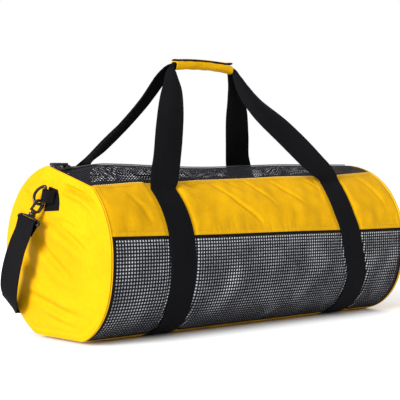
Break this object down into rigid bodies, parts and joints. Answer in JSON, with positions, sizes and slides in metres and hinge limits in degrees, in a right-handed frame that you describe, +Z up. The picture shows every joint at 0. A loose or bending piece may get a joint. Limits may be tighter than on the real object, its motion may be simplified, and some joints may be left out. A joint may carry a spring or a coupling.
{
  "type": "mesh dive gear bag",
  "caption": "Round soft duffel of yellow fabric and black open mesh, with wrapped webbing handles, a zipped top and a clip-on shoulder strap.",
  "frame": {"origin": "on the floor under the middle of the base", "axes": "+X along the bag, away from the end with the zipper slider; -Y the front; +Z up"},
  "size_m": [0.7926, 0.2885, 0.4548],
  "materials": {
    "yellow_fabric": "satin",
    "net": "satin",
    "liner": "matte",
    "binding": "matte",
    "webbing": "matte",
    "zipper_black": "satin",
    "black_metal": "satin"
  },
  "bodies": {
    "root": {"top_mesh_front": "net", "top_mesh_back": "net", "band_front": "yellow_fabric", "band_back": "yellow_fabric", "side_mesh_front": "net", "side_mesh_back": "net", "mesh_liner_front": "liner", "mesh_liner_back": "liner", "base_panel": "yellow_fabric", "mesh_binding_front": "binding", "mesh_binding_back": "binding", "end_cap_left": "yellow_fabric", "end_cap_right": "yellow_fabric", "end_piping_left": "yellow_fabric", "end_piping_right": "yellow_fabric", "zipper_tape": "binding", "zipper_coil": "zipper_black", "zipper_slider": "black_metal", "webbing_left": "webbing", "webbing_right": "webbing", "handle_front": "webbing", "handle_back": "webbing", "grip_wrap": "yellow_fabric", "grip_flap": "binding", "d_ring_left": "black_metal", "d_ring_right": "black_metal", "ring_patch_left": "webbing", "ring_patch_right": "webbing", "ring_tab_left": "webbing", "ring_tab_right": "webbing", "snap_hook_left": "black_metal", "snap_hook_right": "black_metal", "swivel_loop_left": "black_metal", "swivel_loop_right": "black_metal", "shoulder_strap": "webbing"},
    "pull": {"zipper_pull": "zipper_black"},
    "gate_left": {"snap_gate_left": "black_metal"},
    "gate_right": {"snap_gate_right": "black_metal"}
  },
  "joints": [
    {"name": "pull_flip", "type": "hinge", "parent": "root", "child": "pull", "pos_m": [-0.329, 0, 0.275], "axis": [0, 1, 0], "range_deg": [0, 165]},
    {"name": "gate_left_press", "type": "hinge", "parent": "root", "child": "gate_left", "pos_m": [-0.38316, 0.01663, 0.20723], "axis": [0.1021, 0.9823, 0.1572], "range_deg": [0, 17]},
    {"name": "gate_right_press", "type": "hinge", "parent": "root", "child": "gate_right", "pos_m": [0.38316, 0.01663, 0.20723], "axis": [0.1021, -0.9823, -0.1572], "range_deg": [0, 17]}
  ]
}
